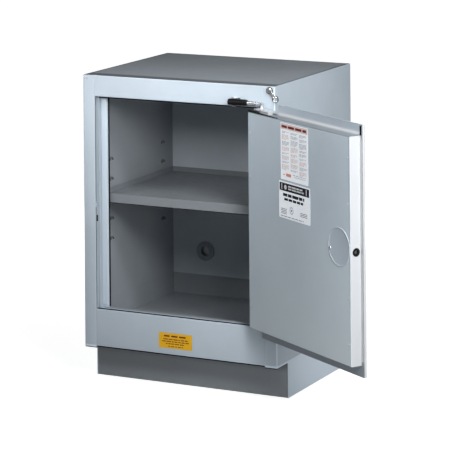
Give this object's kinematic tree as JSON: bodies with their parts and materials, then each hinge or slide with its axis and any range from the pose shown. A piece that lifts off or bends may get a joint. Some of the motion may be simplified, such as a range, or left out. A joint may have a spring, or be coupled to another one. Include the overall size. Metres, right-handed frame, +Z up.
{
  "type": "flammable storage cabinet",
  "caption": "Low double-walled steel safety cabinet with one self-closing door, a lift-out shelf, a leak-tight sump tray, capped rear vents and a recessed toe space.",
  "frame": {"origin": "centre of the cabinet footprint on the floor, which is the centre of the four floor bolt holes; the open door is not counted", "axes": "+X to the right seen from the front, front is -Y, +Z up"},
  "size_m": [0.9971, 0.8348, 0.876],
  "materials": {
    "body_paint": "satin powder coat",
    "top_paint": "satin powder coat",
    "liner_paint": "satin powder coat",
    "toe_paint": "satin powder coat",
    "door_paint": "satin powder coat",
    "plated_steel": "zinc plated",
    "bright_chrome": "polished",
    "black_metal": "semi gloss",
    "cast_vent": "cast, painted",
    "wire_mesh": "woven mesh",
    "brass": "satin",
    "gasket_rubber": "matt",
    "label_white": "printed film",
    "label_yellow": "printed film"
  },
  "bodies": {
    "cabinet": {"side_left": "body_paint", "side_right": "body_paint", "top_panel": "top_paint", "back_panel": "body_paint", "bottom_panel": "liner_paint", "header": "body_paint", "sill": "body_paint", "liner_left": "liner_paint", "liner_right": "liner_paint", "liner_back": "liner_paint", "liner_top": "liner_paint", "sump_tray": "liner_paint", "toe_kick": "toe_paint", "base_rail_left": "toe_paint", "base_rail_right": "toe_paint", "base_rail_rear": "toe_paint", "hinge_stile": "body_paint", "stop_gasket": "gasket_rubber", "wall_hooks": "liner_paint", "shelf_brackets": "plated_steel", "vent_collars": "cast_vent", "flame_screens": "wire_mesh", "ground_stud": "brass", "ground_nut": "brass", "frame_screws": "plated_steel", "hinge_leaf_frame": "plated_steel", "hinge_pin": "plated_steel", "sill_label": "label_yellow", "closer_bracket": "plated_steel", "closer_screws": "plated_steel", "link_stud": "plated_steel"},
    "door": {"hinge_leaf_door": "plated_steel", "door_outer_pan": "door_paint", "door_inner_pan": "door_paint", "door_stiffener": "door_paint", "latch_case": "plated_steel", "latch_spring": "plated_steel", "bolt_bush": "gasket_rubber", "handle_cup": "black_metal", "handle_pin": "plated_steel", "cover_screw": "plated_steel", "door_screws": "plated_steel", "chart_label": "label_white", "notice_label": "label_white", "door_bracket": "bright_chrome", "door_bracket_bolts": "plated_steel"},
    "paddle": {"handle_paddle": "black_metal"},
    "bolt": {"latch_bolt": "plated_steel"},
    "lock": {"lock_cylinder": "bright_chrome"},
    "cover": {"access_cover": "door_paint"},
    "closer_body": {"closer_cylinder": "black_metal"},
    "closer_rod": {"closer_rod": "bright_chrome"},
    "link": {"fusible_link": "brass"},
    "shelf": {"shelf": "liner_paint"},
    "plug_low": {"vent_plug_lower": "cast_vent"},
    "plug_high": {"vent_plug_upper": "cast_vent"}
  },
  "joints": [
    {"name": "door_hinge", "type": "hinge", "parent": "cabinet", "child": "door", "pos_m": [0.251, -0.2618, 0.51], "axis": [0, 0, 1], "range_deg": [-147.6, 3.5]},
    {"name": "closer_swing", "type": "hinge", "parent": "cabinet", "child": "closer_body", "pos_m": [0.186, -0.269, 0.828], "axis": [0, 0, 1], "range_deg": [-1, 6]},
    {"name": "closer_rod_slide", "type": "slide", "parent": "closer_body", "child": "closer_rod", "axis": [0.9998, 0.0214, 0], "range_m": [-0.0368, 0.002]},
    {"name": "handle_lift", "type": "hinge", "parent": "door", "child": "paddle", "pos_m": [0.59516, -0.47346, 0.5065], "axis": [0, 0, 1], "range_deg": [-30, 3]},
    {"name": "bolt_slide", "type": "slide", "parent": "door", "child": "bolt", "axis": [0.8443, -0.5358, 0], "range_m": [-0.0025, 0.0205]},
    {"name": "lock_turn", "type": "hinge", "parent": "door", "child": "lock", "pos_m": [0.62877, -0.48768, 0.4445], "axis": [0.5358, 0.8443, 0], "range_deg": [0, 90]},
    {"name": "cover_swing", "type": "hinge", "parent": "door", "child": "cover", "pos_m": [0.57999, -0.5067, 0.505], "axis": [0.5358, 0.8443, 0], "range_deg": [-100, 0]},
    {"name": "link_swing", "type": "hinge", "parent": "cabinet", "child": "link", "pos_m": [0.2895, -0.2629, 0.864], "axis": [0, 1, 0], "range_deg": [-30, 43]},
    {"name": "shelf_lift", "type": "slide", "parent": "cabinet", "child": "shelf", "axis": [0, 0, 1], "range_m": [0, 0.03]},
    {"name": "low_vent_plug_turn", "type": "hinge", "parent": "cabinet", "child": "plug_low", "pos_m": [-0.157, 0.2575, 0.291], "axis": [0, 1, 0], "range_deg": [0, 180]},
    {"name": "high_vent_plug_turn", "type": "hinge", "parent": "cabinet", "child": "plug_high", "pos_m": [0.157, 0.2575, 0.752], "axis": [0, 1, 0], "range_deg": [0, 180]}
  ],
  "couplings": [
    {"joint": "closer_swing", "follows": "door_hinge", "ratio": -0.009835},
    {"joint": "closer_rod_slide", "follows": "door_hinge", "m_per_rad": 0.013914},
    {"joint": "bolt_slide", "follows": "handle_lift", "m_per_rad": -0.038197}
  ]
}
